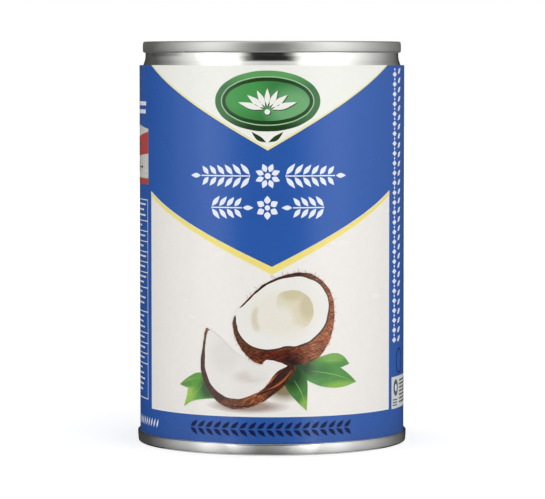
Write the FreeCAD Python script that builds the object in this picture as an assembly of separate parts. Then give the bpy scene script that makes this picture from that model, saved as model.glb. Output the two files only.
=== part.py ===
"""A steel food can: a tinplate body necked in at the top, two seamed-on ends and a paper label.

Millimetres, +Z up. The origin is at the centre of the bottom seam's foot, on the can's axis, and -Y is the
label's front. Every piece is turned about the can's axis, and drawn as half a section in radius and height.
"""
import FreeCAD
import Part
import math
import os

# Driving dimensions, in millimetres.
CAN_HEIGHT = 111.1            # foot of the bottom seam to crown of the top seam
BODY_DIAMETER = 73.3          # over the tinplate wall
BODY_WALL = 0.2               # tinplate of the body
END_PLATE = 0.25              # tinplate of the two ends

SEAM_HEIGHT = 3.1             # both double seams, crown to lower edge
SEAM_OVERHANG = 0.85          # how far a double seam stands out from the wall under it
SEAM_CROWN_RADIUS = 0.45      # rounding of both edges of the crown
SEAM_CURL_RADIUS = 0.75       # rounding of the edge that curls back to the wall

COUNTERSINK_DEPTH = 4.2       # crown to bottom of the groove inside the seam
COUNTERSINK_WIDTH = 1.7       # groove, wall to wall
COUNTERSINK_RADIUS = 0.6      # rounding in the bottom of the groove
PANEL_RISE = 1.2              # flat panel above the bottom of the groove
PANEL_EDGE_RADIUS = 0.5       # rounding where the panel drops into the groove

BEAD_COUNT = 3                # expansion rings pressed into each end
BEAD_INSET = 3.6              # groove's inner wall to the middle of the outermost ring
BEAD_PITCH = 4.6              # from ring to ring
BEAD_WIDTH = 2.6              # a ring across its base
BEAD_CREST = 1.0              # a ring across its top
BEAD_RISE = 0.55              # a ring above the panel
BEAD_RADIUS = 0.5             # rounding of a ring's corners

NECK_REDUCTION = 1.5          # body radius less neck radius
NECK_STRAIGHT = 1.65          # straight neck under the top seam
NECK_CONE_HEIGHT = 4.2        # slope from the neck out to the body
NECK_BEND_RADIUS = 5.0        # rounding at both ends of the slope

LABEL_THICKNESS = 0.15        # paper
LABEL_SEAM_CLEARANCE = 0.05   # label's lower edge above the bottom seam
LABEL_OVER_SLOPE = 2.45       # how far the label runs up past the foot of the slope
LABEL_LAP_WIDTH = 9.0         # glued overlap at the back
LABEL_LAP_DIRECTION = 90      # middle of the overlap, in degrees round from +X: opposite the front

# Worked out from the driving dimensions.
BODY_RADIUS = BODY_DIAMETER / 2
NECK_RADIUS = BODY_RADIUS - NECK_REDUCTION
NECK_FOOT = CAN_HEIGHT - SEAM_HEIGHT - NECK_STRAIGHT
SLOPE_FOOT = NECK_FOOT - NECK_CONE_HEIGHT
PANEL_DEPTH = COUNTERSINK_DEPTH - PANEL_RISE
LABEL_BOTTOM = SEAM_HEIGHT + LABEL_SEAM_CLEARANCE
LABEL_TOP = SLOPE_FOOT + LABEL_OVER_SLOPE

AXIS_FOOT = FreeCAD.Vector(0, 0, 0)
AXIS = FreeCAD.Vector(0, 0, 1)
ACROSS = FreeCAD.Vector(1, 0, 0)
ROUNDED_SHARE = 0.98          # most of a straight run that its two roundings may take up
FULL_TURN = 360
HALF_TURN = 180


def unit(start, end):
    """Direction from one corner to the next, in radius and height."""
    run, rise = end[0] - start[0], end[1] - start[1]
    length = math.hypot(run, rise)
    return run / length, rise / length


def turning(before, after):
    """Positive where the path turns left, negative where it turns right."""
    return before[0] * after[1] - before[1] * after[0]


def turn_at(corners, i):
    """How far the path turns at a corner, in radians."""
    before, after = unit(corners[i - 1], corners[i]), unit(corners[i], corners[i + 1])
    return math.atan2(turning(before, after), before[0] * after[0] + before[1] * after[1])


def fitted(corners):
    """The same corners, with each rounding small enough for the two straight runs beside it."""
    inner = range(1, len(corners) - 1)
    reach = [0] * len(corners)
    for i in inner:
        reach[i] = corners[i][2] * math.tan(abs(turn_at(corners, i)) / 2)
    share = [1] * len(corners)
    for i in range(1, len(corners)):
        run = math.hypot(corners[i][0] - corners[i - 1][0], corners[i][1] - corners[i - 1][1])
        taken = reach[i - 1] + reach[i]
        if taken > run * ROUNDED_SHARE:
            share[i - 1] = min(share[i - 1], run * ROUNDED_SHARE / taken)
            share[i] = min(share[i], run * ROUNDED_SHARE / taken)
    return [(radius, height, rounding * share[i]) for i, (radius, height, rounding) in enumerate(corners)]


def sheet_back(corners, thickness):
    """The other face of a sheet, where the corners are (radius, height, rounding) on the left of it."""
    back = []
    last = len(corners) - 1
    for i, (radius, height, rounding) in enumerate(corners):
        before = unit(corners[i - 1], corners[i]) if i > 0 else unit(corners[0], corners[1])
        after = unit(corners[i], corners[i + 1]) if i < last else before
        out_before = (before[1], -before[0])
        out_after = (after[1], -after[0])
        share = 1 + out_before[0] * out_after[0] + out_before[1] * out_after[1]
        moved_radius = radius + thickness * (out_before[0] + out_after[0]) / share
        moved_height = height + thickness * (out_before[1] + out_after[1]) / share
        if rounding:
            rounding += math.copysign(thickness, turning(before, after))
        back.append((moved_radius, moved_height, rounding))
    return back


def path_edges(corners):
    """Straight edges joined by tangent arcs, through corners of (radius, height, rounding)."""
    corners = fitted(corners)
    edges = []
    at = FreeCAD.Vector(corners[0][0], 0, corners[0][1])
    for i in range(1, len(corners)):
        corner = FreeCAD.Vector(corners[i][0], 0, corners[i][1])
        rounding = corners[i][2]
        if not rounding or i == len(corners) - 1:
            edges.append(Part.LineSegment(at, corner).toShape())
            at = corner
            continue
        before = unit(corners[i - 1], corners[i])
        after = unit(corners[i], corners[i + 1])
        turn = turn_at(corners, i)
        reach = rounding * math.tan(abs(turn) / 2)
        start = corner - FreeCAD.Vector(before[0], 0, before[1]) * reach
        end = corner + FreeCAD.Vector(after[0], 0, after[1]) * reach
        inward = (start + end) * 0.5 - corner
        inward.normalize()
        to_centre = rounding / math.cos(turn / 2)
        middle = corner + inward * (to_centre - rounding)
        edges.append(Part.LineSegment(at, start).toShape())
        edges.append(Part.Arc(start, middle, end).toShape())
        at = end
    return edges


def turned(corners, angle=FULL_TURN):
    """The solid made by turning a closed section, given by its corners, about the can's axis."""
    closed = corners + [(corners[0][0], corners[0][1], 0)]
    section = Part.Face(Part.Wire(path_edges(closed)))
    return section.revolve(AXIS_FOOT, AXIS, angle)


def end_face(wall_radius):
    """The outer face of an end, from its middle to the crown's inner edge, with the crown at height 0."""
    chuck_radius = wall_radius - BODY_WALL - END_PLATE
    groove_radius = chuck_radius - COUNTERSINK_WIDTH
    corners = [(0, -PANEL_DEPTH, 0)]
    for ring in reversed(range(BEAD_COUNT)):
        middle = groove_radius - BEAD_INSET - ring * BEAD_PITCH
        crest, foot = BEAD_CREST / 2, BEAD_WIDTH / 2
        for across, rise in ((-foot, 0), (-crest, BEAD_RISE), (crest, BEAD_RISE), (foot, 0)):
            corners.append((middle + across, rise - PANEL_DEPTH, BEAD_RADIUS))
    corners.append((groove_radius, -PANEL_DEPTH, PANEL_EDGE_RADIUS))
    corners.append((groove_radius, -COUNTERSINK_DEPTH, COUNTERSINK_RADIUS))
    corners.append((chuck_radius, -COUNTERSINK_DEPTH, COUNTERSINK_RADIUS))
    corners.append((chuck_radius, 0, SEAM_CROWN_RADIUS))
    return corners


def end_back(wall_radius):
    """The face of an end that lies on the body, from its middle to the lower edge of the seam."""
    back = sheet_back(end_face(wall_radius), END_PLATE)[:-1]
    return back + [(wall_radius - BODY_WALL, -SEAM_HEIGHT, 0), (wall_radius, -SEAM_HEIGHT, 0)]


def seamed_end(wall_radius):
    """An end plate with its double seam, crown up, for a wall of this outer radius."""
    seam_radius = wall_radius + SEAM_OVERHANG
    seam = [(seam_radius, 0, SEAM_CROWN_RADIUS), (seam_radius, -SEAM_HEIGHT, SEAM_CURL_RADIUS)]
    return turned(end_face(wall_radius) + seam + end_back(wall_radius)[::-1])


def top_end():
    """The end at the top, seamed on to the neck."""
    end = seamed_end(NECK_RADIUS)
    end.translate(AXIS * CAN_HEIGHT)
    return end


def bottom_end():
    """The end that the can stands on, seamed on to the full width of the body."""
    end = seamed_end(BODY_RADIUS)
    end.rotate(AXIS_FOOT, ACROSS, HALF_TURN)
    return end


def can_body():
    """The closed can between its ends, wall and contents in one, with the neck drawn in for the top end."""
    bottom = [(radius, -height, rounding) for radius, height, rounding in end_back(BODY_RADIUS)]
    slope = [(BODY_RADIUS, SLOPE_FOOT, NECK_BEND_RADIUS), (NECK_RADIUS, NECK_FOOT, NECK_BEND_RADIUS)]
    top = [(radius, height + CAN_HEIGHT, rounding) for radius, height, rounding in end_back(NECK_RADIUS)]
    return turned(bottom + slope + top[::-1])


def paper_band(inner_radius, angle):
    """One layer of the label on this radius."""
    outer_radius = inner_radius + LABEL_THICKNESS
    return turned(
        [
            (inner_radius, LABEL_BOTTOM, 0),
            (outer_radius, LABEL_BOTTOM, 0),
            (outer_radius, LABEL_TOP, 0),
            (inner_radius, LABEL_TOP, 0),
        ],
        angle,
    )


def label():
    """The paper sheet round the body, with one end glued over the other, opposite the front."""
    lap_radius = BODY_RADIUS + LABEL_THICKNESS
    lap_angle = math.degrees(LABEL_LAP_WIDTH / lap_radius)
    lap = paper_band(lap_radius, lap_angle)
    lap.rotate(AXIS_FOOT, AXIS, LABEL_LAP_DIRECTION - lap_angle / 2)
    return paper_band(BODY_RADIUS, FULL_TURN).fuse(lap).removeSplitter()


def main():
    os.makedirs("parts", exist_ok=True)
    for node in (can_body, top_end, bottom_end, label):
        solid = node()
        solid.exportStep(f"parts/{node.__name__}.step")
        box = solid.BoundBox
        print(
            f"{node.__name__}: {len(solid.Solids)} solid, valid {solid.isValid()}, {solid.Volume:.1f} mm3, "
            f"{box.XLength:.2f} x {box.YLength:.2f} x {box.ZLength:.2f} mm, foot at {box.ZMin:.3f}"
        )


main()
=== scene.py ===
"""A steel food can with a printed paper label: tinplate body and ends, a paper sheet and the print on it.

The print is drawn flat, in millimetres round the label (across, from the front's middle) and up the can,
then cut into upright strips and wrapped round the paper. Every drawn colour is a thin closed sheet.
"""
import math
import random
import bpy
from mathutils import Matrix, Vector


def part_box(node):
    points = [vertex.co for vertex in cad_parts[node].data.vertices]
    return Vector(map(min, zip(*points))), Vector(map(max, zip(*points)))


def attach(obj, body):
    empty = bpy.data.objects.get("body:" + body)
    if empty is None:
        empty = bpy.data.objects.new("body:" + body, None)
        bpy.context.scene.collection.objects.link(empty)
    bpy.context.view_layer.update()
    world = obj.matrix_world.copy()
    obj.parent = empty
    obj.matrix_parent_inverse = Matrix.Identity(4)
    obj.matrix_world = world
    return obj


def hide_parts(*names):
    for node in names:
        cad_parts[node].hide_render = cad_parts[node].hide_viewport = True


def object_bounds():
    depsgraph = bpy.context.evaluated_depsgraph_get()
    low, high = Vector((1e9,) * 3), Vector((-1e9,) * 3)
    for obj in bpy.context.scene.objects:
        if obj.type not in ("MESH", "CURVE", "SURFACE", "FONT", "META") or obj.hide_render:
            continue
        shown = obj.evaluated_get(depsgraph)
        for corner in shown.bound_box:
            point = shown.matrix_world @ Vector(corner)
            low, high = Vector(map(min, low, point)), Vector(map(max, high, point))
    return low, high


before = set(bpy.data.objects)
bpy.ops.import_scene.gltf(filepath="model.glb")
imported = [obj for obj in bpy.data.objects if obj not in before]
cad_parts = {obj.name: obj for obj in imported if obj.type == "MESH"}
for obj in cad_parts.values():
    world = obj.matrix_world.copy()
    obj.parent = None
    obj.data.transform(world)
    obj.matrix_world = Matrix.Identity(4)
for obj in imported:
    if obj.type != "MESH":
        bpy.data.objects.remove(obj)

cad_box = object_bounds()
bpy.ops.object.select_all(action="DESELECT")

MM = 0.001
TURN = 2 * math.pi

# Sizes read from the frame, in metres.
wall_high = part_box("can_body")[1]
paper_low, paper_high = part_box("label")
top_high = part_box("top_end")[1]
CAN_HEIGHT = cad_box[1][2]
PAPER_RADIUS = paper_high.x
PAPER_FOOT = paper_low.z
PAPER_TOP = paper_high.z
WALL_RADIUS = wall_high.x
TOP_SEAM_RADIUS = top_high.x

# The tinplate, in metres. A seam's face runs from crown to curl: (set back, share of height, rounding).
SEAM_HEIGHT = 3.1 * MM
SEAM_OVERHANG = 0.85 * MM
SEAM_THICKNESS = 1.3 * MM
SEAM_CROWN_ROUND = 0.45 * MM
TOP_SEAM_FACE = ((0.26 * MM, 0, 0.5 * MM), (0, 0.48, 8 * MM), (0.20 * MM, 1, 0.6 * MM))
BOTTOM_SEAM_FACE = ((0.20 * MM, 0, 0.45 * MM), (0.07 * MM, 0.45, 45 * MM), (0, 1, 0.25 * MM))
END_PLATE = 0.25 * MM
COUNTERSINK_DEPTH = 4.2 * MM
COUNTERSINK_WIDTH = 1.7 * MM
COUNTERSINK_ROUND = 0.6 * MM
PANEL_DEPTH = 3.0 * MM
PANEL_ROUND = 0.5 * MM
RING_INSET = 3.6 * MM
RING_PITCH = 4.6 * MM
RING_COUNT = 3
RING_FOOT = 1.3 * MM
RING_CREST = 0.5 * MM
RING_RISE = 0.55 * MM
NECK_RADIUS = TOP_SEAM_RADIUS - SEAM_OVERHANG
NECK_STRAIGHT = 1.65 * MM
NECK_SLOPE = 4.2 * MM
NECK_BEND = 5.0 * MM
METAL_STEPS = 256

# The paper and the print, in metres.
PAPER_THICKNESS = PAPER_RADIUS - WALL_RADIUS
LAP_WIDTH = 9.0 * MM
WRAP_STEPS = 144
STRIP = TURN * PAPER_RADIUS / WRAP_STEPS
LAYER = 0.022 * MM
HALF_ROUND = math.pi * PAPER_RADIUS / MM    # in millimetres

# Places this near count as one, in metres, and edges sharper than this stay sharp, in degrees.
SAME_PLACE = 1e-6
METAL_MERGE = 1e-7
PRINT_MERGE = 1e-8
METAL_SHARP = 40
PAPER_SHARP = 30

# Two places along a drawn leaf, as shares of its length, and its width and bow at the second of them.
LEAF_BELLY_AT = 0.42
LEAF_SHOULDER_AT = 0.78
LEAF_SHOULDER_WIDTH = 0.55
LEAF_SHOULDER_BOW = 0.7

# A spray's stem, in millimetres: half its width, and from its middle to a leaf's base.
STEM_HALF = 0.16
LEAF_OFF_STEM = 0.32


# ---------------------------------------------------------------- materials

STREAK_DEPTH = 0.0008 * MM    # rolling streaks in the tinplate
RIPPLE_DEPTH = 0.014 * MM     # level ripple of the paper
TOOTH_DEPTH = 0.0012 * MM     # fine tooth of the paper
PAPER_ROUGHNESS = 0.26
PAPER_ROUGHNESS_DRIFT = 0.04
PAPER_GLOSS = 0.42
SPOT_DEPTH = 60 * MM          # a spot reaches right through the label, so that only its outline counts
PAINTED_SHADE_SCALE = 0.1              # in metres
PAINTED_SHADE_HIGH, PAINTED_SHADE_LOW = 0.15, 0.04    # in that unit, the heights between which painted shade darkens the blue towards the can's foot, standing in for the shade near the floor
STRAND_CROSSING = 55          # angle between the two sets of husk strands, in degrees


def tone(red, green, blue):
    """A screen colour, 0 to 255, as the linear colour that a shader takes."""
    linear = []
    for part in (red, green, blue):
        share = part / 255
        linear.append(share / 12.92 if share <= 0.04045 else ((share + 0.055) / 1.055) ** 2.4)
    return (*linear, 1.0)


def grey(level):
    return (level, level, level, 1.0)


def scaled(colour, by):
    """A colour made lighter or darker, up to full white."""
    return tuple(min(1.0, part * by) for part in colour[:3]) + (1.0,)


HUSK_TONES = (
    (0.38, tone(60, 28, 10)), (0.47, tone(116, 58, 27)),
    (0.54, tone(174, 94, 49)), (0.63, tone(226, 158, 104)),
)


class Finish:
    """A material under construction: its nodes are added one at a time and fed by name."""

    def __init__(self, name):
        self.material = bpy.data.materials.new(name)
        self.material.use_nodes = True
        self.nodes = self.material.node_tree.nodes
        self.links = self.material.node_tree.links
        self.shader = self.nodes["Principled BSDF"]
        self.place = self.nodes.new("ShaderNodeTexCoord").outputs["Object"]

    def feed(self, socket, value):
        """Gives a socket a fixed value, or another node's output."""
        if isinstance(value, bpy.types.NodeSocket):
            self.links.new(value, socket)
        else:
            socket.default_value = value

    def surface(self, socket, value):
        self.feed(self.shader.inputs[socket], value)

    def added(self, kind, inputs):
        """A new node, with its inputs given by their names or numbers."""
        node = self.nodes.new(kind)
        for socket, value in inputs.items():
            self.feed(node.inputs[socket], value)
        return node

    def mapped(self, place=(0, 0, 0), scale=(1, 1, 1), turn=(0, 0, 0)):
        """Object coordinates, moved, turned and scaled to a pattern's own frame."""
        inputs = {"Location": place, "Rotation": turn, "Scale": scale, "Vector": self.place}
        mapping = self.added("ShaderNodeMapping", inputs)
        mapping.vector_type = "TEXTURE"
        return mapping.outputs["Vector"]

    def noise(self, cell, detail=3.0, rough=0.55, turn=(0, 0, 0)):
        """Soft noise with cells of this size in millimetres, across, inwards and up."""
        vector = self.mapped(scale=tuple(size * MM for size in cell), turn=turn)
        inputs = {"Scale": 1.0, "Detail": detail, "Roughness": rough, "Vector": vector}
        return self.added("ShaderNodeTexNoise", inputs).outputs["Fac"]

    def ramp(self, factor, stops):
        """Colours blended along a factor; stops are (position, colour)."""
        ramp = self.added("ShaderNodeValToRGB", {"Fac": factor})
        band = ramp.color_ramp
        band.elements[0].position, band.elements[0].color = stops[0]
        band.elements[1].position, band.elements[1].color = stops[-1]
        for position, colour in stops[1:-1]:
            band.elements.new(position).color = colour
        return ramp.outputs["Color"]

    def blend(self, factor, first, second, kind="MIX"):
        """Two colours mixed by a factor, each a colour or another node's output."""
        mix = self.nodes.new("ShaderNodeMix")
        mix.data_type = "RGBA"
        mix.blend_type = kind
        for socket, value in ((0, factor), (6, first), (7, second)):
            self.feed(mix.inputs[socket], value)
        return mix.outputs[2]

    def maths(self, kind, first, second):
        """One sum on two numbers or outputs."""
        node = self.added("ShaderNodeMath", {0: first, 1: second})
        node.operation = kind
        return node.outputs[0]

    def part(self, vector, axis):
        return self.added("ShaderNodeSeparateXYZ", {"Vector": vector}).outputs[axis]

    def spread(self, factor, low, high):
        """A 0 to 1 factor stretched between two numbers."""
        inputs = {"To Min": low, "To Max": high, "Value": factor}
        return self.added("ShaderNodeMapRange", inputs).outputs["Result"]

    def share_between(self, value, low, high):
        """Where a value lies between two numbers, from 0 to 1."""
        inputs = {"From Min": low, "From Max": high, "Value": value}
        return self.added("ShaderNodeMapRange", inputs).outputs["Result"]

    def relief(self, *layers):
        """Fine relief, each layer a height and its depth in metres."""
        normal = None
        for height, depth in layers:
            bump = self.added("ShaderNodeBump", {"Strength": 1.0, "Distance": depth, "Height": height})
            if normal:
                self.feed(bump.inputs["Normal"], normal)
            normal = bump.outputs["Normal"]
        self.surface("Normal", normal)

    def spotted(self, shade, spots, core, kind="MIX"):
        """Soft spots on the label's front laid over a shade, each (centre, radii, colour, share).

        The core is how far inside its rim a spot reaches its full share, in radii.
        """
        for centre, radii, colour, share in spots:
            place = self.mapped(on_front(*centre), (radii[0] * MM, SPOT_DEPTH, radii[1] * MM))
            ball = self.added("ShaderNodeTexGradient", {"Vector": place})
            ball.gradient_type = "SPHERICAL"
            edge = self.ramp(ball.outputs["Fac"], ((0.0, grey(0)), (core, grey(share))))
            shade = self.blend(edge, shade, colour, kind)
        return shade


def tinplate(name, colour, roughness):
    """Bright tinplate: fine rolling streaks round the can, faint mottling and a slightly uneven polish."""
    finish = Finish(name)
    streaks = finish.noise((9, 9, 0.3), 2.0)
    mottle = finish.noise((7, 7, 3))
    finish.surface("Metallic", 1.0)
    finish.surface("Base Color", finish.ramp(mottle, ((0.3, scaled(colour, 0.95)), (0.7, colour))))
    finish.surface("Roughness", finish.spread(mottle, roughness * 0.9, roughness * 1.1))
    finish.relief((streaks, STREAK_DEPTH))
    return finish.material


def paper_surface(finish, roughness=PAPER_ROUGHNESS, gloss=PAPER_GLOSS):
    """The label's semi-gloss coating: uneven gloss, a fine tooth and the paper's level ripple."""
    tooth = finish.noise((0.35, 0.35, 0.35), 2.0)
    cloud = finish.noise((14, 14, 5), 2.0)
    ripple = finish.noise((70, 70, 2.6), 0.0)
    dullest, shiniest = roughness + PAPER_ROUGHNESS_DRIFT, roughness - PAPER_ROUGHNESS_DRIFT
    finish.surface("Roughness", finish.spread(cloud, shiniest, dullest))
    finish.surface("Specular IOR Level", gloss)
    finish.relief((ripple, RIPPLE_DEPTH), (tooth, TOOTH_DEPTH))


def printed(name, colour, lift=0.03, roughness=PAPER_ROUGHNESS, foot=1.0, gloss=PAPER_GLOSS):
    """One printing ink: its colour with the light mottle of solid print; a foot below 1 adds painted shade
    towards the can's foot.
    """
    finish = Finish(name)
    mottle = finish.noise((1.6, 1.6, 1.6), 4.0)
    shade = finish.ramp(mottle, ((0.3, scaled(colour, 1 - lift)), (0.7, scaled(colour, 1 + lift))))
    # Painted shade: the colour darkens to foot times itself towards the can's foot, in place of the shade
    # near the floor.
    if foot < 1:
        height = finish.part(finish.mapped(scale=(1, 1, PAINTED_SHADE_SCALE)), "Z")
        painted_foot_shade = finish.ramp(height, ((PAINTED_SHADE_LOW, grey(foot)), (PAINTED_SHADE_HIGH, grey(1))))
        shade = finish.blend(1.0, shade, painted_foot_shade, "MULTIPLY")
    finish.surface("Base Color", shade)
    paper_surface(finish, roughness, gloss)
    return finish.material


def on_front(across, up):
    """The point of the label's front at these millimetres, in metres."""
    angle = across * MM / PAPER_RADIUS
    return Vector((PAPER_RADIUS * math.sin(angle), -PAPER_RADIUS * math.cos(angle), up * MM))


def shaded(name, colour, spots, grain=0.0, core=0.55):
    """Ink that shades as a printed picture does: one colour, with soft spots and a fine grain on it."""
    finish = Finish(name)
    shade = finish.spotted(colour, spots, core)
    if grain:
        speckle = finish.noise((0.8, 0.8, 0.8))
        dots = finish.ramp(speckle, ((0.35, grey(1 - grain)), (0.65, grey(1))))
        shade = finish.blend(1.0, shade, dots, "MULTIPLY")
    finish.surface("Base Color", shade)
    paper_surface(finish)
    return finish.material


def husk_skin(name, lean, spots):
    """Printed coconut husk: brown strands leaning by so many degrees, with darker and lighter spots."""
    finish = Finish(name)
    strands = []
    for way in (lean, lean - STRAND_CROSSING):
        strands.append(finish.noise((2.0, 2.0, 0.28), 4.0, 0.7, (0, math.radians(-way), 0)))
    fibres = finish.ramp(finish.blend(0.4, *strands), HUSK_TONES)
    finish.surface("Base Color", finish.spotted(fibres, spots, 0.6, "MULTIPLY"))
    paper_surface(finish)
    return finish.material


# ---------------------------------------------------------------- making pieces

def active_mesh():
    return bpy.context.view_layer.objects.active


def edit_all():
    bpy.ops.object.mode_set(mode="EDIT")
    bpy.ops.mesh.select_all(action="SELECT")


def pick_vertices(wanted):
    """Selects the vertices whose place passes a test."""
    piece = active_mesh()
    bpy.ops.mesh.select_mode(type="VERT")
    bpy.ops.mesh.select_all(action="DESELECT")
    bpy.ops.object.mode_set(mode="OBJECT")
    for vertex in piece.data.vertices:
        vertex.select = wanted(vertex.co)
    bpy.ops.object.mode_set(mode="EDIT")


def section_line(name, corners):
    """A line of edges through (radius, height) corners, drawn out from one vertex."""
    start = Vector((corners[0][0], 0, corners[0][1]))
    bpy.ops.mesh.primitive_plane_add(size=MM, location=(0, 0, 0))
    piece = active_mesh()
    piece.name = name
    edit_all()
    bpy.ops.mesh.merge(type="CENTER")
    bpy.ops.transform.translate(value=start)
    here = start
    for radius, height, *_ in corners[1:]:
        there = Vector((radius, 0, height))
        bpy.ops.mesh.extrude_region_move(TRANSFORM_OT_translate={"value": there - here})
        here = there
    bpy.ops.object.mode_set(mode="OBJECT")
    return piece


def corner_reach(before, corner, after):
    """How far along its two straights the rounding of a (radius, height, rounding) corner starts."""
    first = math.atan2(corner[1] - before[1], corner[0] - before[0])
    second = math.atan2(after[1] - corner[1], after[0] - corner[0])
    turn = abs((second - first + math.pi) % TURN - math.pi)
    return corner[2] * math.tan(turn / 2)


def spun(name, corners, finish, segments=6):
    """A closed shell spun from a section of (radius, height, rounding) corners, from axis to axis."""
    bpy.ops.object.select_all(action="DESELECT")
    piece = section_line(name, corners)
    bpy.ops.object.mode_set(mode="EDIT")
    for before, corner, after in zip(corners, corners[1:], corners[2:]):
        if not corner[2]:
            continue
        place = Vector((corner[0], 0, corner[1]))
        pick_vertices(lambda co: (co - place).length < SAME_PLACE)
        reach = corner_reach(before, corner, after)
        bpy.ops.mesh.bevel(offset=reach, segments=segments, affect="VERTICES")
    bpy.ops.mesh.select_all(action="SELECT")
    bpy.ops.mesh.spin(steps=METAL_STEPS, angle=TURN, center=(0, 0, 0), axis=(0, 0, 1))
    bpy.ops.mesh.select_all(action="SELECT")
    bpy.ops.mesh.remove_doubles(threshold=METAL_MERGE)
    bpy.ops.mesh.normals_make_consistent(inside=False)
    bpy.ops.object.mode_set(mode="OBJECT")
    bpy.ops.object.shade_smooth_by_angle(angle=math.radians(METAL_SHARP))
    piece.data.materials.append(finish)
    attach(piece, "root")
    return piece


def corner(across, up):
    return (across, up, "VECTOR")


def smooth(across, up):
    return (across, up, "AUTO")


def straight(*points):
    """A loop with a sharp corner at each point."""
    return [corner(*point) for point in points]


def box_loop(left, low, right, high):
    return straight((left, low), (right, low), (right, high), (left, high))


def oval_loop(across, up, half_width, half_height, points=16):
    loop = []
    for k in range(points):
        turn = TURN * k / points
        loop.append(smooth(across + half_width * math.cos(turn), up + half_height * math.sin(turn)))
    return loop


def uneven_edge(points, steps, jitter, rng):
    """A smooth closed line through these points, made as uneven as a break."""
    loop = []
    count = len(points)
    for k in range(count):
        before, start, end, after = (Vector(points[(k + j) % count]) for j in (-1, 0, 1, 2))
        for j in range(steps):
            t = j / steps
            squared = 2 * before - 5 * start + 4 * end - after
            cubed = 3 * start - before - 3 * end + after
            bend = squared * t * t + cubed * t ** 3
            place = start + ((end - before) * t + bend) / 2
            sideways, upwards = rng.uniform(-jitter, jitter), rng.uniform(-jitter, jitter)
            loop.append(smooth(place.x + sideways, place.y + upwards))
    return loop


def grown(points, centre, by):
    """The same points, each moved so far away from a centre."""
    moved = []
    for across, up in points:
        reach = math.hypot(across - centre[0], up - centre[1])
        share = by / reach
        moved.append((across + (across - centre[0]) * share, up + (up - centre[1]) * share))
    return moved


def leaf_loop(base, tip, belly, sag=0.0):
    """A pointed leaf from base to tip, as wide as twice its belly, bowed to its left by sag."""
    run, rise = tip[0] - base[0], tip[1] - base[1]
    length = math.hypot(run, rise)
    side = (-rise / length, run / length)

    def at(share, off):
        return smooth(base[0] + run * share + side[0] * off, base[1] + rise * share + side[1] * off)

    return [
        corner(*base),
        at(LEAF_BELLY_AT, sag - belly),
        at(LEAF_SHOULDER_AT, sag * LEAF_SHOULDER_BOW - belly * LEAF_SHOULDER_WIDTH),
        corner(*tip),
        at(LEAF_SHOULDER_AT, sag * LEAF_SHOULDER_BOW + belly * LEAF_SHOULDER_WIDTH),
        at(LEAF_BELLY_AT, sag + belly),
    ]


def frame_loops(left, low, right, high, line):
    """An outline of a box, drawn with a line of this width."""
    return [box_loop(left, low, right, high), box_loop(left + line, low + line, right - line, high - line)]


def ring_loops(across, up, half_width, half_height, line):
    """An oval drawn with a line of this width."""
    outer = oval_loop(across, up, half_width, half_height)
    return [outer, oval_loop(across, up, half_width - line, half_height - line)]


def grid_loops(left, low, right, rows, line, split):
    """A ruled box of rows, given by their heights from the foot up, with a column line at split."""
    loops = [box_loop(left, low, right, low + sum(rows) + line * (len(rows) + 1))]
    foot = low + line
    for height in rows:
        loops.append(box_loop(left + line, foot, split - line / 2, foot + height))
        loops.append(box_loop(split + line / 2, foot, right - line, foot + height))
        foot += height + line
    return loops


def lozenge_loop(across, up, half_width, half_height):
    left, right = across - half_width, across + half_width
    return straight((left, up), (across, up - half_height), (right, up), (across, up + half_height))


def spray_loops(start, end, level, pairs, length, belly, slope):
    """A leafy spray along a level stem: pairs of leaves that slope to its end, and one leaf at the end."""
    way = 1 if end > start else -1
    pitch = (end - start) / pairs
    lean = math.radians(slope)
    loops = [box_loop(min(start, end), level - STEM_HALF, max(start, end), level + STEM_HALF)]
    for k in range(pairs):
        root = start + pitch * k + way * 0.15
        reach = length * (1 - 0.05 * k)
        for side in (1, -1):
            base = (root, level + side * LEAF_OFF_STEM)
            rise = LEAF_OFF_STEM + reach * math.sin(lean)
            tip = (root + way * reach * math.cos(lean), level + side * rise)
            loops.append(leaf_loop(base, tip, belly))
    loops.append(leaf_loop((end + way * 0.25, level), (end + way * (0.25 + length * 0.8), level), belly))
    return loops


def flower_loops(across, up, petals, reach, belly, heart):
    """Petals round a round heart."""
    loops = [oval_loop(across, up, heart, heart, points=6)]
    for k in range(petals):
        turn = TURN * (k + 0.5) / petals
        way = (math.cos(turn), math.sin(turn))
        near = heart + 0.3
        base = (across + way[0] * near, up + way[1] * near)
        tip = (across + way[0] * reach, up + way[1] * reach)
        loops.append(leaf_loop(base, tip, belly))
    return loops


def fine_lines(left, right, low, high, pitch, line, rng, shortest=0.55):
    """Level lines of uneven length, as a block of fine print looks from afar."""
    loops = []
    rows = int((high - low) / pitch)
    for k in range(rows):
        foot = high - pitch * (k + 1) + (pitch - line) / 2
        length = (right - left) * rng.uniform(shortest, 1.0)
        loops.append(box_loop(left, foot, left + length, foot + line))
    return loops


def drawn_flat(name, loops):
    """A flat filled shape of these loops, lying in X and Y; a loop inside another is a hole."""
    curve = bpy.data.curves.new(name, "CURVE")
    curve.dimensions = "2D"
    curve.fill_mode = "BOTH"
    curve.resolution_u = 6
    for loop in loops:
        spline = curve.splines.new("BEZIER")
        spline.bezier_points.add(len(loop) - 1)
        spline.use_cyclic_u = True
        for point, (across, up, kind) in zip(spline.bezier_points, loop):
            point.co = (across * MM, up * MM, 0)
            point.handle_left_type = kind
            point.handle_right_type = kind
    piece = bpy.data.objects.new(name, curve)
    bpy.context.collection.objects.link(piece)
    bpy.ops.object.select_all(action="DESELECT")
    piece.select_set(True)
    bpy.context.view_layer.objects.active = piece
    bpy.ops.object.convert(target="MESH")
    return active_mesh()


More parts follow.
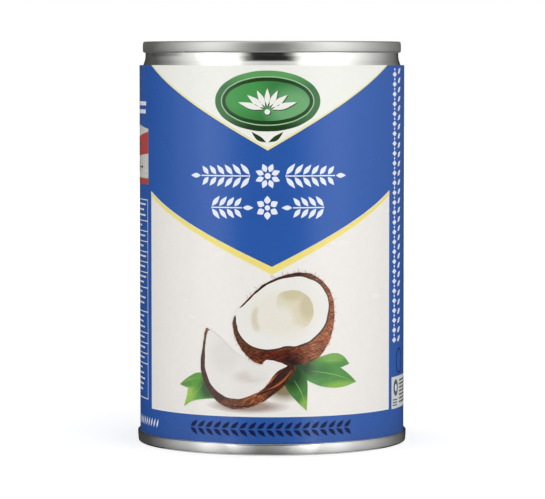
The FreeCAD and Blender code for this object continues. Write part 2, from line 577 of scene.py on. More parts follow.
def wrapped(name, loops, finish, layer, thickness=LAYER, base=0.0):
    """Ink of these loops: drawn flat, made this thick, cut into upright strips and wrapped round the paper.

    Layers count outwards from 1, on the paper or on another sheet that is base metres thick.
    """
    piece = drawn_flat(name, loops)
    edit_all()
    bpy.ops.transform.translate(value=(0, 0, base + LAYER * (layer - 1)))
    bpy.ops.mesh.extrude_region_move(TRANSFORM_OT_translate={"value": (0, 0, thickness)})
    across = [vertex.co.x for vertex in piece.data.vertices]
    first, last = math.floor(min(across) / STRIP) + 1, math.ceil(max(across) / STRIP)
    for k in range(first, last):
        bpy.ops.mesh.select_all(action="SELECT")
        bpy.ops.mesh.bisect(plane_co=(k * STRIP, 0, 0), plane_no=(1, 0, 0))
    bpy.ops.mesh.select_all(action="SELECT")
    bpy.ops.mesh.remove_doubles(threshold=PRINT_MERGE)
    bpy.ops.mesh.normals_make_consistent(inside=False)
    bpy.ops.object.mode_set(mode="OBJECT")
    piece.rotation_euler = (math.pi / 2, 0, 0)
    bpy.ops.object.transform_apply(location=True, rotation=True, scale=True)
    bend = piece.modifiers.new("Wrap", "SIMPLE_DEFORM")
    bend.deform_method = "BEND"
    bend.deform_axis = "Z"
    bend.angle = (max(across) - min(across)) / PAPER_RADIUS
    bpy.ops.object.modifier_apply(modifier=bend.name)
    piece.location = (0, -PAPER_RADIUS, 0)
    bpy.ops.object.transform_apply(location=True, rotation=True, scale=True)
    bpy.ops.object.shade_smooth_by_angle(angle=math.radians(PAPER_SHARP))
    piece.data.materials.append(finish)
    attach(piece, "root")
    return piece


# ---------------------------------------------------------------- tinplate

def end_section(crown_height, wall_radius, way, face):
    """Section of an end plate with its double seam; way is 1 with the crown up and -1 with the crown down.

    The seam's face runs from its crown to its curled edge, as (set back, share of its height, rounding).
    """
    seam = wall_radius + SEAM_OVERHANG
    chuck = seam - SEAM_THICKNESS
    groove = chuck - COUNTERSINK_WIDTH
    outer = [(0, -PANEL_DEPTH, 0)]
    for ring in reversed(range(RING_COUNT)):
        ridge = groove - RING_INSET - ring * RING_PITCH
        outer.append((ridge - RING_FOOT, -PANEL_DEPTH, PANEL_ROUND))
        outer.append((ridge - RING_CREST, RING_RISE - PANEL_DEPTH, PANEL_ROUND))
        outer.append((ridge + RING_CREST, RING_RISE - PANEL_DEPTH, PANEL_ROUND))
        outer.append((ridge + RING_FOOT, -PANEL_DEPTH, PANEL_ROUND))
    outer.append((groove, -PANEL_DEPTH, PANEL_ROUND))
    outer.append((groove, -COUNTERSINK_DEPTH, COUNTERSINK_ROUND))
    outer.append((chuck, -COUNTERSINK_DEPTH, COUNTERSINK_ROUND))
    outer.append((chuck, 0, SEAM_CROWN_ROUND))
    for set_back, share, rounding in face:
        outer.append((seam - set_back, -SEAM_HEIGHT * share, rounding))
    outer.append((wall_radius - END_PLATE, -SEAM_HEIGHT, 0))
    outer.append((wall_radius - END_PLATE, -COUNTERSINK_DEPTH - END_PLATE, 0))
    outer.append((0, -COUNTERSINK_DEPTH - END_PLATE, 0))
    return [(radius, crown_height + way * height, rounding) for radius, height, rounding in outer]


def make_tinplate():
    wall = tinplate("tinplate_wall", tone(222, 222, 217), 0.11)
    seam = tinplate("tinplate_seam", tone(187, 187, 184), 0.41)
    foot = tinplate("tinplate_foot", tone(194, 194, 192), 0.17)

    top_section = end_section(CAN_HEIGHT, NECK_RADIUS, 1, TOP_SEAM_FACE)
    top = spun("top_end_plate", top_section, seam)
    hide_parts("top_end")
    bottom_section = end_section(0, WALL_RADIUS, -1, BOTTOM_SEAM_FACE)
    bottom = spun("bottom_end_plate", bottom_section, foot)
    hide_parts("bottom_end")

    neck_foot = CAN_HEIGHT - SEAM_HEIGHT - NECK_STRAIGHT
    inner = COUNTERSINK_DEPTH + END_PLATE
    body = spun("tinplate_body", [
        (0, inner, 0),
        (WALL_RADIUS - END_PLATE, inner, 0),
        (WALL_RADIUS - END_PLATE, SEAM_HEIGHT, 0),
        (WALL_RADIUS, SEAM_HEIGHT, 0),
        (WALL_RADIUS, neck_foot - NECK_SLOPE, NECK_BEND),
        (NECK_RADIUS, neck_foot, NECK_BEND),
        (NECK_RADIUS, CAN_HEIGHT - SEAM_HEIGHT, 0),
        (NECK_RADIUS - END_PLATE, CAN_HEIGHT - SEAM_HEIGHT, 0),
        (NECK_RADIUS - END_PLATE, CAN_HEIGHT - inner, 0),
        (0, CAN_HEIGHT - inner, 0),
    ], wall, segments=12)
    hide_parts("can_body")


# ---------------------------------------------------------------- label

BLUE = tone(24, 86, 173)
WHITE = tone(245, 246, 238)
CREAM = tone(245, 241, 236)


def make_paper():
    """The paper sheet, a closed tube, and the lap glued over its start at the back."""
    paper = printed("label_paper", tone(240, 240, 236), 0.015, 0.6)
    foot, top = PAPER_FOOT / MM, PAPER_TOP / MM
    height, middle = PAPER_TOP - PAPER_FOOT, (PAPER_TOP + PAPER_FOOT) / 2
    bpy.ops.mesh.primitive_cylinder_add(vertices=WRAP_STEPS, radius=WALL_RADIUS, depth=height,
                                        end_fill_type="NOTHING", location=(0, 0, middle))
    sheet = active_mesh()
    sheet.name = "label_sheet"
    bpy.ops.object.transform_apply(location=True)
    shell = sheet.modifiers.new("Thickness", "SOLIDIFY")
    shell.thickness = PAPER_THICKNESS
    shell.offset = 1
    shell.use_even_offset = True
    bpy.ops.object.modifier_apply(modifier=shell.name)
    bpy.ops.object.shade_smooth_by_angle(angle=math.radians(PAPER_SHARP))
    sheet.data.materials.append(paper)
    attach(sheet, "root")
    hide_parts("label")

    half_lap = LAP_WIDTH / MM / 2
    lap = [box_loop(HALF_ROUND - half_lap, foot, HALF_ROUND + half_lap, top)]
    wrapped("paper_lap", lap, paper, 2, PAPER_THICKNESS - LAYER)
    # The lap's blue carries the same painted shade towards the can's foot.
    wrapped("paper_lap_blue", lap, printed("ink_blue_lap", BLUE, 0.03, foot=0.86), 1, base=PAPER_THICKNESS)


def make_fields(blue, white, cream, straw, pale_straw):
    """The large fields of colour: blue ground, white collar and cream panel, edged with straw yellow."""
    foot, top = PAPER_FOOT / MM, PAPER_TOP / MM
    wrapped("blue_ground", [box_loop(-HALF_ROUND, foot, HALF_ROUND, top)], blue, 1)
    wrapped("collar_edge", [straight((-40.6, top), (-1.1, 81.9), (37.6, top))], pale_straw, 2)
    wrapped("collar", [straight((-39.6, top), (-1.1, 82.6), (36.7, top))], white, 3)
    wrapped("panel_edge", [straight(
        (-40.8, 10.4), (38.8, 10.4), (38.8, 70.5), (0, 50.8), (-40.8, 70.2))], white, 2)
    wrapped("panel", [straight(
        (-40.2, 10.9), (38.2, 10.9), (38.2, 69.2), (0, 48.8), (-40.2, 68.9))], cream, 4)
    wrapped("panel_stripe", [straight(
        (-40.8, 69.9), (-40.8, 69.0), (0, 48.7), (38.8, 69.3), (38.8, 70.2), (0, 50.8))], straw, 5)


def make_badge(white):
    """A ringed green oval on the collar, with a palm fan on it."""
    across, up = -1.2, 95.1
    dark = printed("ink_green_dark", tone(28, 66, 26), 0.04)
    mid = shaded("ink_green_band", tone(56, 112, 62), (
        ((across, up + 9), (18, 7), tone(92, 164, 92), 1.0),
        ((across, up - 9), (18, 6), tone(26, 62, 24), 1.0)))
    pale = printed("ink_green_pale", tone(160, 208, 156), 0.04)
    field = shaded("ink_green_field", tone(56, 132, 66), (
        ((across - 7, up + 2), (9, 8), tone(70, 158, 78), 0.9),
        ((across + 7, up - 2), (9, 7), tone(120, 182, 124), 0.8)))
    wrapped("badge_rim", [oval_loop(across, up, 14.4, 8.1)], mid, 4)
    wrapped("badge_line", ring_loops(across, up, 12.7, 6.6, 0.3), pale, 5)
    wrapped("badge_band", ring_loops(across, up, 12.4, 6.3, 1.0), dark, 5)
    wrapped("badge_field", [oval_loop(across, up, 11.4, 5.3)], field, 5)
    fan = []
    for degrees, length, belly in (
            (0, 6.0, 0.72), (27, 6.1, 0.72), (52, 6.8, 0.8), (74, 8.2, 0.8),
            (-27, 6.1, 0.72), (-52, 6.8, 0.8), (-74, 8.2, 0.8)):
        way = (math.sin(math.radians(degrees)), math.cos(math.radians(degrees)))
        fan.append(leaf_loop((across + way[0] * 1.2, up - 2.6 + way[1] * 1.2),
                             (across + way[0] * length, up - 2.6 + way[1] * length), belly))
    fan.append(oval_loop(across, up - 2.9, 0.75, 0.7, points=8))
    wrapped("badge_palm", fan, white, 7)
    shade = [[(x + 0.22, z - 0.2, kind) for x, z, kind in loop] for loop in fan]
    wrapped("badge_palm_shade", shade, dark, 6)
    wrapped("badge_sprig", [leaf_loop((across - 0.25, 84.1), (across - 4.2, 86.9), 0.62, 0.3),
                            leaf_loop((across + 0.25, 84.1), (across + 4.2, 86.9), 0.62, -0.3)], dark, 4)


def make_garlands(white, navy):
    """Leafy garlands on the blue, and a navy leaf border on the band below the panel."""
    loops = flower_loops(-1.1, 75.1, 8, 3.5, 0.72, 0.8)
    loops += spray_loops(3.6, 17.6, 75.1, 6, 3.9, 0.64, 50)
    loops += spray_loops(-5.8, -19.8, 75.1, 6, 3.9, 0.64, 50)
    wrapped("garland_upper", loops, white, 2)
    loops = flower_loops(-1.2, 66.6, 6, 3.2, 0.85, 0.7)
    loops += spray_loops(14.4, 5.7, 66.6, 4, 3.6, 0.62, 50)
    loops += spray_loops(-16.8, -8.1, 66.6, 4, 3.6, 0.62, 50)
    wrapped("garland_lower", loops, white, 2)

    loops = []
    for k in range(19):
        across = -23.6 + k * 2.45
        loops.append(leaf_loop((across, 7.2), (across + 2.3, 9.1), 0.56, -0.2))
        loops.append(leaf_loop((across, 6.9), (across + 2.3, 5.0), 0.56, 0.2))
    wrapped("border_leaves", loops, navy, 2)


def make_leaves():
    """Green leaves on either side of the coconut, drawn from the back forwards, with their ribs."""
    right = shaded("ink_leaf_right", tone(80, 148, 62), (
        ((20.2, 18.0), (7.5, 2.1), tone(146, 194, 76), 0.9),
        ((17, 26.2), (4.6, 1.9), tone(132, 186, 84), 0.8),
        ((12.6, 22.4), (5, 2.6), tone(58, 120, 58), 0.8),
        ((7.2, 24.0), (5.4, 4.2), tone(38, 70, 34), 1.0)), grain=0.12)
    low = shaded("ink_leaf_low", tone(66, 132, 50), (
        ((9.4, 12.6), (2.6, 4.0), tone(144, 190, 72), 1.0),
        ((5.2, 21.8), (5.0, 5.6), tone(22, 64, 16), 1.0)), grain=0.12)
    left = shaded("ink_leaf_left", tone(92, 160, 56), (
        ((-25.2, 15.4), (3.2, 5.4), tone(160, 202, 84), 1.0),
        ((-25, 18.6), (2.6, 1.3), tone(80, 140, 60), 0.8),
        ((-17.8, 17.8), (3.2, 4.2), tone(44, 84, 40), 1.0)), grain=0.12)
    wrapped("leaf_right_back", [[
        corner(6.0, 25.2), smooth(13.0, 26.4), smooth(17.2, 27.3), smooth(19.9, 26.6),
        corner(22.2, 24.2), smooth(18.6, 23.2), smooth(13.0, 23.6)]], right, 6)
    wrapped("leaf_right_front", [[
        corner(5.4, 25.6), smooth(10.4, 25.0), smooth(14.4, 24.9), smooth(18.4, 23.7),
        smooth(21.6, 21.7), corner(24.5, 19.2), smooth(20.4, 18.1), smooth(15.6, 18.1),
        smooth(11.6, 19.2), smooth(7.6, 21.8)]], right, 7)
    wrapped("leaf_right_low", [[
        corner(4.4, 24.0), smooth(8.0, 23.2), smooth(9.4, 20.6), smooth(9.6, 16.4), corner(9.4, 12.0),
        smooth(6.6, 14.7), smooth(4.3, 17.5), corner(2.8, 20.6)]], low, 8)
    wrapped("leaf_left_back", [[
        corner(-16.4, 20.6), smooth(-20.6, 21.9), smooth(-23.8, 20.7), corner(-27.3, 18.3),
        smooth(-24.6, 17.6), smooth(-19.0, 17.2)]], left, 6)
    wrapped("leaf_left_front", [[
        corner(-15.6, 20.4), smooth(-20.2, 20.9), corner(-24.3, 18.9), smooth(-24.6, 16.0),
        corner(-25.8, 12.4), smooth(-22.6, 14.1), smooth(-19.2, 14.8), corner(-14.8, 15.2)]], left, 7)
    rib = printed("ink_leaf_rib", tone(140, 190, 104), 0.03)
    wrapped("leaf_ribs_back", [leaf_loop((13.6, 25.2), (21.6, 24.5), 0.08, 0.5),
                               leaf_loop((-20.6, 20.6), (-26.7, 18.4), 0.08, -0.3)], rib, 7)
    wrapped("leaf_ribs_front", [leaf_loop((10.0, 22.8), (23.6, 19.4), 0.1, 0.5),
                                leaf_loop((-19.4, 19.0), (-25.4, 13.0), 0.09, 0.3)], rib, 8)
    wrapped("leaf_rib_low", [leaf_loop((5.6, 20.8), (9.2, 12.8), 0.09, 0.5)], rib, 9)


def make_half_coconut(rng):
    """The halved coconut: hairy husk, the dark edge of its shell, white flesh and a pale yellow hollow."""
    centre = (3.2, 37.6)
    husk = husk_skin("ink_husk", 20, (
        ((2.4, 26.2), (10, 4.8), tone(156, 100, 84), 1.0),
        ((3, 47.5), (15, 6.5), tone(132, 124, 128), 1.0),
        ((-9, 34), (4.5, 10), tone(164, 158, 154), 1.0),
        ((5, 24.4), (4, 2.6), tone(120, 100, 80), 1.0),
        ((-6.2, 28.0), (3.4, 2.8), tone(190, 178, 156), 1.0),
        ((7.6, 26.4), (3.4, 2.4), tone(236, 240, 190), 1.0)))
    edge = [
        (-9.0, 39.3), (-10.5, 36.0), (-9.9, 31.8), (-8.0, 28.4), (-5.0, 25.5), (-1.0, 24.3),
        (4.0, 24.1), (8.6, 24.8), (12.6, 26.2), (15.4, 29.6), (17.1, 34.2), (17.4, 39.2), (16.2, 43.9),
        (13.4, 47.3), (9.5, 49.1), (5.2, 49.0), (0.6, 47.6), (-3.6, 45.0), (-6.8, 41.8)]
    wrapped("coconut_husk", [uneven_edge(edge, 4, 0.1, rng)], husk, 9)
    hair = []
    for start, end in zip(edge[1:-1], edge[2:]):
        for j in range(3):
            share = (j + rng.uniform(0.0, 1.0)) / 3
            base = (start[0] + (end[0] - start[0]) * share, start[1] + (end[1] - start[1]) * share)
            lean = math.atan2(base[1] - centre[1], base[0] - centre[0]) + rng.uniform(-1.1, 1.1)
            length = rng.uniform(0.4, 1.6)
            tip = (base[0] + length * math.cos(lean), base[1] + length * math.sin(lean))
            hair.append(leaf_loop(base, tip, 0.04))
    wrapped("husk_hair", hair, printed("ink_husk_hair", tone(164, 122, 100), 0.1), 8)

    opening = [
        (-9.7, 37.6), (-9.4, 34.8), (-8.2, 32.1), (-5.4, 29.7), (-1.2, 28.6), (3.4, 29.4), (7.6, 29.8),
        (11.2, 31.6), (14.2, 34.8), (15.5, 38.8), (15.1, 42.8), (12.6, 46.2), (8.6, 48.0), (4.4, 47.9),
        (0.2, 46.7), (-3.6, 44.2), (-6.8, 41.1), (-8.7, 39.2)]
    rim = printed("ink_shell_rim", tone(74, 42, 32), 0.25)
    flesh = shaded("ink_flesh", tone(243, 241, 235), (
        ((2.6, 38.4), (11, 7.6), tone(240, 236, 222), 1.0),
        ((-4.0, 36.8), (1.9, 3.9), tone(224, 215, 190), 1.0),
        ((-2.4, 37.4), (1.9, 4.4), tone(240, 236, 224), 1.0)), grain=0.02, core=0.4)
    hollow = shaded("ink_hollow", tone(230, 221, 194), (
        ((9.9, 40.4), (3.0, 5.0), tone(212, 200, 166), 1.0),
        ((5.6, 43.6), (4.2, 2.4), tone(214, 205, 166), 1.0),
        ((2.6, 36.4), (4.4, 5.2), tone(240, 236, 222), 1.0),
        ((6.2, 33.4), (4.0, 2.4), tone(240, 236, 222), 1.0)), grain=0.02, core=0.5)
    wrapped("shell_rim", [uneven_edge(grown(opening, centre, 0.45), 3, 0.1, rng)], rim, 10)
    wrapped("coconut_flesh", [uneven_edge(opening, 3, 0.1, rng)], flesh, 11)
    wrapped("coconut_hollow", [uneven_edge([
        (1.4, 40.8), (1.5, 43.0), (3.4, 44.2), (6.2, 44.6), (8.8, 43.6), (10.6, 41.6), (11.3, 38.8),
        (10.6, 36.2), (8.8, 34.5), (6.6, 33.8), (4.8, 34.8), (3.4, 37.0), (2.0, 39.0)], 3, 0.08, rng)],
        hollow, 12)
    wrapped("shell_chip", [leaf_loop((-8.0, 40.0), (-10.4, 37.4), 0.5)], flesh, 12)


def make_cut_piece(rng):
    """The cut piece in front: a curved shell with torn fibres at its right, and thick white flesh."""
    bark = husk_skin("ink_piece_husk", 40, (
        ((-17, 22), (14, 18), tone(116, 106, 108), 1.0),
        ((1.8, 19.8), (6.8, 6.4), tone(128, 90, 62), 1.0),
        ((4.4, 24.0), (3.4, 2.4), tone(130, 108, 100), 1.0)))
    wrapped("piece_husk", [uneven_edge([
        (-17.3, 33.7), (-18.8, 32.6), (-19.3, 29.0), (-20.1, 24.2), (-19.2, 20.2), (-16.8, 16.2),
        (-13.2, 13.2), (-9.0, 12.5), (-4.8, 13.4), (-0.6, 15.7), (3.0, 18.7), (5.2, 21.6), (6.3, 23.9),
        (3.0, 25.2), (-3.0, 24.0), (-10.0, 26.0)], 3, 0.1, rng)], bark, 12)
    fibre = printed("ink_fibre", tone(172, 92, 44), 0.12)
    wrapped("piece_fibres", [
        leaf_loop((-6.0, 14.6), (3.6, 20.4), 0.28, -0.7), leaf_loop((-1.6, 17.6), (5.4, 23.4), 0.3, -0.9),
        leaf_loop((-1.9, 18.6), (1.7, 22.4), 0.26, -0.1)], fibre, 13)
    gap = printed("ink_fibre_gap", tone(52, 24, 16), 0.1)
    wrapped("piece_gaps", [
        leaf_loop((-4.6, 16.3), (0.6, 18.4), 0.2, -0.2), leaf_loop((-0.4, 18.9), (4.4, 23.8), 0.4, -0.4),
        leaf_loop((-12.0, 13.3), (-3.6, 14.2), 0.22, -0.5)], gap, 13)
    meat = shaded("ink_piece_flesh", tone(239, 236, 231), (
        ((-13.0, 27.0), (5.0, 6.0), tone(230, 225, 219), 0.9),
        ((-6.0, 21.2), (5.4, 2.2), tone(221, 213, 205), 0.9),
        ((-3.8, 22.6), (3.6, 2.6), tone(238, 235, 230), 0.9)), grain=0.02)
    wrapped("piece_flesh", [uneven_edge([
        (-17.2, 33.5), (-14.2, 31.7), (-11.2, 28.9), (-7.6, 26.3), (-3.4, 24.4), (-1.4, 25.9),
        (1.4, 25.3), (4.0, 24.2), (1.8, 23.0), (0.2, 21.2), (-1.8, 18.6), (-4.8, 16.6), (-8.8, 15.3),
        (-12.6, 15.7), (-16.2, 18.2), (-18.3, 22.0), (-18.7, 26.6), (-18.2, 31.6)], 3, 0.07, rng)],
        meat, 13)


def make_coconut(rng):
    """The picture on the panel: a halved coconut, a cut piece before it, green leaves and a soft shadow."""
    shadow = shaded("ink_shadow", CREAM, (
        ((3.4, 18.6), (6.4, 4.6), tone(140, 128, 94), 1.0),
        ((-6.5, 13.2), (12.0, 2.1), tone(172, 152, 142), 1.0)))
    wrapped("picture_shadow", [oval_loop(-3.0, 15.5, 18.0, 4.5)], shadow, 5)
    make_leaves()
    make_half_coconut(rng)
    make_cut_piece(rng)


def make_right_strip(white, dark, navy, rng):
    """Beside the panel: two upright chains, an oval ring and a small pale box with fine lines."""
    loops = []
    for k in range(28):
        level = 29.2 + k * 2.7
        loops.append(lozenge_loop(42.3, level, 1.5, 0.8))
        loops.append(oval_loop(42.3, level + 1.35, 0.42, 0.34, points=8))
    wrapped("chain_inner", loops, white, 2)
    loops = []
    for k in range(30):
        level = 28.6 + k * 2.54
        loops.append(leaf_loop((44.8, level), (47.2, level + 1.5), 0.62))
    wrapped("chain_outer", loops, white, 2)
    wrapped("side_oval", ring_loops(46.4, 23.2, 2.6, 3.6, 0.45), navy, 2)
    pale = printed("ink_white_grey", tone(222, 223, 222), 0.02)
    wrapped("side_box", [box_loop(40.6, 10.2, 62.0, 19.0)], pale, 2)
    loops = [oval_loop(43.6, 15.9, 1.7, 2.3)]
    loops += fine_lines(46.6, 60.6, 11.2, 18.2, 1.0, 0.45, rng)
    loops += fine_lines(41.4, 45.4, 10.7, 13.0, 0.75, 0.35, rng, 0.8)
    wrapped("side_box_print", loops, dark, 3)
    wrapped("side_box_dot", [oval_loop(43.6, 15.9, 0.7, 1.0)], white, 4)


def make_left_strip(white, rng):
    """Beside the panel on the left: a small red and white tag with a spray, and a ruled table under it."""
    red = printed("ink_red", tone(188, 66, 60), 0.04)
    wrapped("tag_lines", fine_lines(-62.0, -43.9, 90.8, 95.2, 2.2, 1.1, rng, 0.9), white, 2)
    tag = printed("ink_tag_ground", tone(214, 211, 203), 0.03)
    wrapped("tag_ground", [straight(
        (-85, 71.9), (-42.9, 71.9), (-42.9, 87.2), (-64, 89.4), (-85, 87.2))], tag, 2)
    wrapped("tag_band", [straight((-85, 80.6), (-42.9, 86.4), (-42.9, 80.4), (-85, 77.2))], red, 3)
    wrapped("tag_foot", [box_loop(-85, 71.9, -42.9, 73.6)], red, 3)
    leaf = printed("ink_tag_leaf", tone(58, 86, 52), 0.05)
    wrapped("tag_leaves", spray_loops(-80.0, -50.0, 76.6, 8, 2.4, 0.42, 40), leaf, 3)

    rows = (9.4, 2.6, 2.6, 2.6, 5.6, 6.4, 4.0, 2.6, 2.6, 2.6, 2.6, 2.6, 5.6)
    foot, rule = 12.6, 0.24
    wrapped("table_rules", grid_loops(-85.0, foot, -43.4, rows, rule, -58.0), white, 2)
    loops = []
    level = foot + rule
    for height in rows:
        for left, right in ((-83.6, -59.4), (-56.6, -45.2)):
            loops += fine_lines(left, right, level + 0.4, level + height - 0.4, 1.5, 0.45, rng, 0.6)
        level += height + rule
    wrapped("table_print", loops, white, 2)
    loops = []
    for k in range(9):
        loops.append(leaf_loop((-52.0 + k * 1.75, 5.4), (-50.9 + k * 1.75, 7.9), 0.36))
    wrapped("foot_leaves", loops, white, 2)


def make_back(white, cream, navy, rng):
    """Round the back: a framed cream panel with a leaf heading and bars of fine print."""
    wrapped("back_panel", [box_loop(68.0, 13.0, 104.0, 68.0)], cream, 2)
    wrapped("back_frame", frame_loops(67.0, 12.0, 105.0, 69.0, 0.4), white, 2)
    loops = flower_loops(86.0, 62.6, 8, 2.9, 0.6, 0.7)
    loops += spray_loops(89.4, 99.4, 62.6, 5, 2.8, 0.5, 50)
    loops += spray_loops(82.6, 72.6, 62.6, 5, 2.8, 0.5, 50)
    loops += fine_lines(71.0, 101.0, 18.0, 57.0, 3.0, 1.0, rng, 0.6)
    wrapped("back_print", loops, navy, 3)


def make_print():
    rng = random.Random(7)
    # The blue ink carries painted shade that darkens it towards the can's foot.
    blue = printed("ink_blue", BLUE, 0.03, foot=0.86)
    white = printed("ink_white", WHITE, 0.01)
    cream = printed("ink_cream", CREAM, 0.012)
    straw = printed("ink_straw", tone(247, 229, 126), 0.02)
    pale_straw = printed("ink_straw_pale", tone(242, 234, 172), 0.02)
    snow = printed("ink_white_fine", tone(238, 243, 252), 0.01)
    navy = printed("ink_navy", tone(12, 30, 74), 0.05, gloss=0.12)
    dark = printed("ink_grey", tone(92, 94, 100), 0.05)
    make_fields(blue, white, cream, straw, pale_straw)
    make_badge(white)
    make_garlands(snow, navy)
    make_coconut(rng)
    make_right_strip(snow, dark, navy, rng)
    make_left_strip(snow, rng)
    make_back(white, cream, navy, rng)


# ---------------------------------------------------------------- stage, light and camera

# The studio wall, in metres, and its brightness by bearing from the front, in degrees, and by height:
# two softboxes that fade to the back.
WALL_DISTANCE = 0.7
WALL_HEIGHT = 1.4
WALL_MIDDLE = 0.2
WALL_SIDES = 96
WALL_STRENGTH = 3.0
WALL_LEVELS = (
    (-180, 0.01), (-144, 0.03), (-128, 0.04), (-106, 0.13), (-89, 0.28), (-74, 0.39), (-66, 0.55),
    (-58, 0.80), (-48, 0.74), (-38, 0.53), (-28, 0.48), (20, 0.48), (38, 0.55), (48, 0.78), (58, 0.80),
    (66, 0.66), (74, 0.49), (89, 0.36), (106, 0.22), (128, 0.10), (144, 0.06), (164, 0.01), (180, 0.01),
)
WALL_BY_HEIGHT = (
    (-0.50, 0.03), (-0.30, 0.06), (-0.21, 0.20), (-0.16, 0.62), (-0.13, 1.04), (-0.10, 0.90), (-0.07, 0.50),
    (-0.03, 0.60), (0.06, 1.0), (0.60, 1.0), (0.90, 0.6),
)

# The cards inside the wall: name, place, strength, levels by bearing and by height, and how these join.
# A place is the left and right end, the lower and upper edge, the distance, and the bearing in degrees.
CARDS = (
    ("neck_flag", (-0.317, 0.280, 0.17, 0.60, 0.55, 0), 1.44, (
        (-180, 1.0), (-30, 1.0), (-23, 0.22), (-16, 0.01), (13, 0.01), (18, 0.15), (23, 0.70), (27, 1.0),
        (180, 1.0),
    ), ((0.17, 0.0), (0.36, 0.0), (0.46, 0.35), (0.60, 1.0)), "LIGHTEN"),
    ("rim_flag", (-0.317, 0.280, -0.045, 0.17, 0.55, 0), 1.95, (
        (-180, 0.74), (-29, 0.74), (-23, 0.30), (-17, 0.01), (10, 0.01), (17, 0.20), (23, 0.74),
        (180, 0.74),
    ), ((-0.045, 1.0), (0.060, 1.0), (0.078, 0.0), (0.17, 0.0)), "LIGHTEN"),
    ("side_flag", (-0.25, 0.25, -0.045, 0.14, 0.55, -112), 1.0, (
        (-180, 0.06), (-136, 0.06), (-112, 0.17), (-96, 0.40), (-88, 0.70), (180, 0.70),
    ), ((-0.5, 1.0), (0.5, 1.0))),
    ("label_flag", (-0.36, 0.34, -0.075, 0.080, 0.54, 0), 0.10),
    ("foot_flag", (-0.41, 0.44, -0.40, -0.045, 0.55, 0), 6.0, (
        (-180, 0.97), (-34, 0.97), (-23, 0.40), (-11.5, 0.16), (0, 0.17), (11.5, 0.27), (23, 0.68),
        (34, 1.35), (180, 1.35),
    ), ((-0.40, 0.0), (-0.20, 0.04), (-0.16, 0.15), (-0.12, 0.46), (-0.09, 0.86), (-0.045, 0.86))),
)

FLOOR_SIZE = 8
FLOOR_GAP = 0.00002           # keeps the floor clear of the can's foot
FLOOR_GREY = 0.80
FLOOR_ROUGHNESS = 0.6
FLOOR_LIFT = 0.41             # what the camera sees on top of the floor's own grey
ROOM_LIGHT = 0.86
LAMP_SIZE = (1.0, 0.8)
LAMP_POWER = 2.6
LAMP_PLACE = (0.35, -0.9, 0.9)
LAMP_TILT = 48
CAMERA_PLACE = (0.00017, -0.8464, 0.106)
CAMERA_DIP = 3.572            # degrees below level
CAMERA_LENS = 200.5
CAMERA_SENSOR = 36
CAMERA_NEAREST = 0.01


def glow_material(name, strength, bearings=None, heights=None, join="MULTIPLY"):
    """A card that shines: one strength, or levels by bearing from the front and by height."""
    finish = Finish(name)
    glow = finish.added("ShaderNodeEmission", {"Strength": strength})
    finish.feed(finish.nodes["Material Output"].inputs["Surface"], glow.outputs["Emission"])
    finish.nodes.remove(finish.shader)
    if not bearings:
        return finish.material
    ahead = finish.maths("MULTIPLY", finish.part(finish.place, "Y"), -1)
    bearing = finish.maths("ARCTAN2", finish.part(finish.place, "X"), ahead)
    bearing_marks = [(math.radians(degrees), level) for degrees, level in bearings]
    levels = []
    for source, marks in ((bearing, bearing_marks), (finish.part(finish.place, "Z"), heights)):
        low, high = marks[0][0], marks[-1][0]
        stops = [((mark - low) / (high - low), grey(level)) for mark, level in marks]
        levels.append(finish.ramp(finish.share_between(source, low, high), stops))
    finish.feed(glow.inputs["Color"], finish.blend(1.0, *levels, join))
    return finish.material


def only_in_gloss(piece):
    """A studio piece that the can mirrors, and that neither shows nor lights anything itself."""
    piece.visible_camera = False
    piece.visible_diffuse = False
    piece.visible_shadow = False
    piece.visible_transmission = False


def make_flag(name, place, material):
    """A card beside the can that only its shine shows."""
    left, right, low, high, distance, bearing = place
    turn = math.radians(bearing)
    middle = (left + right) / 2
    across = middle * math.cos(turn) + distance * math.sin(turn)
    inward = middle * math.sin(turn) - distance * math.cos(turn)
    centre = (across, inward, (low + high) / 2)
    bpy.ops.mesh.primitive_plane_add(size=1, location=centre, rotation=(math.pi / 2, 0, turn))
    card = active_mesh()
    card.name = name
    card.scale = (right - left, high - low, 1)
    bpy.ops.object.transform_apply(location=True, rotation=True, scale=True)
    card.data.materials.append(material)
    only_in_gloss(card)


def make_floor():
    """The pale floor, lifted to white for the camera and kept out of the can's shine."""
    bpy.ops.mesh.primitive_plane_add(size=FLOOR_SIZE, location=(0, 0, -FLOOR_GAP))
    floor = active_mesh()
    floor.name = "floor"
    finish = Finish("floor_white")
    finish.surface("Base Color", grey(FLOOR_GREY))
    finish.surface("Roughness", FLOOR_ROUGHNESS)
    finish.surface("Emission Color", grey(1))
    seen = finish.added("ShaderNodeLightPath", {}).outputs["Is Camera Ray"]
    finish.surface("Emission Strength", finish.maths("MULTIPLY", seen, FLOOR_LIFT))
    floor.data.materials.append(finish.material)
    floor.visible_glossy = False


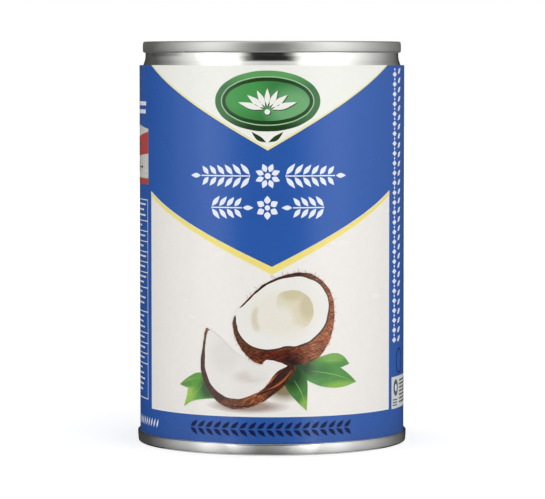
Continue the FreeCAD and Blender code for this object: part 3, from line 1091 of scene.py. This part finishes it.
def make_cards():
    """The studio wall all round, and the cards in front of it."""
    bpy.ops.mesh.primitive_cylinder_add(vertices=WALL_SIDES, radius=WALL_DISTANCE, depth=WALL_HEIGHT,
                                        end_fill_type="NOTHING", location=(0, 0, WALL_MIDDLE))
    wall = active_mesh()
    wall.name = "softbox_wall"
    bpy.ops.object.transform_apply(location=True)
    wall.data.materials.append(glow_material("softbox_wall", WALL_STRENGTH, WALL_LEVELS, WALL_BY_HEIGHT))
    only_in_gloss(wall)

    for name, place, *glow in CARDS:
        make_flag(name, place, glow_material(name, *glow))


def make_light():
    """Even light from the room, white wherever the camera or the shine looks at it, and one soft lamp."""
    world = bpy.data.worlds.new("studio")
    bpy.context.scene.world = world
    world.use_nodes = True
    nodes, links = world.node_tree.nodes, world.node_tree.links
    background = nodes["Background"]
    background.inputs["Color"].default_value = grey(1)
    path = nodes.new("ShaderNodeLightPath")
    seen = path.outputs["Is Camera Ray"]
    for ray in ("Is Glossy Ray", "Is Transmission Ray"):
        either = nodes.new("ShaderNodeMath")
        either.operation = "MAXIMUM"
        links.new(seen, either.inputs[0])
        links.new(path.outputs[ray], either.inputs[1])
        seen = either.outputs[0]
    strength = nodes.new("ShaderNodeMapRange")
    strength.inputs["To Min"].default_value = ROOM_LIGHT
    strength.inputs["To Max"].default_value = 1.0
    links.new(seen, strength.inputs["Value"])
    links.new(strength.outputs["Result"], background.inputs["Strength"])

    lamp = bpy.data.lights.new("key_lamp", "AREA")
    lamp.shape = "RECTANGLE"
    lamp.size, lamp.size_y = LAMP_SIZE
    lamp.energy = LAMP_POWER
    key = bpy.data.objects.new("key_lamp", lamp)
    key.location = LAMP_PLACE
    key.rotation_euler = (math.radians(LAMP_TILT), 0, 0)
    key.visible_glossy = False
    bpy.context.collection.objects.link(key)


def make_camera():
    lens = bpy.data.cameras.new("camera")
    lens.sensor_width = CAMERA_SENSOR
    lens.lens = CAMERA_LENS
    lens.clip_start = CAMERA_NEAREST
    camera = bpy.data.objects.new("camera", lens)
    camera.location = CAMERA_PLACE
    camera.rotation_euler = (math.radians(90 - CAMERA_DIP), 0, 0)
    bpy.context.collection.objects.link(camera)
    bpy.context.scene.camera = camera


make_tinplate()
make_paper()
make_print()
make_floor()
make_cards()
make_light()
make_camera()

view = bpy.context.scene.view_settings
view.view_transform = "Standard"
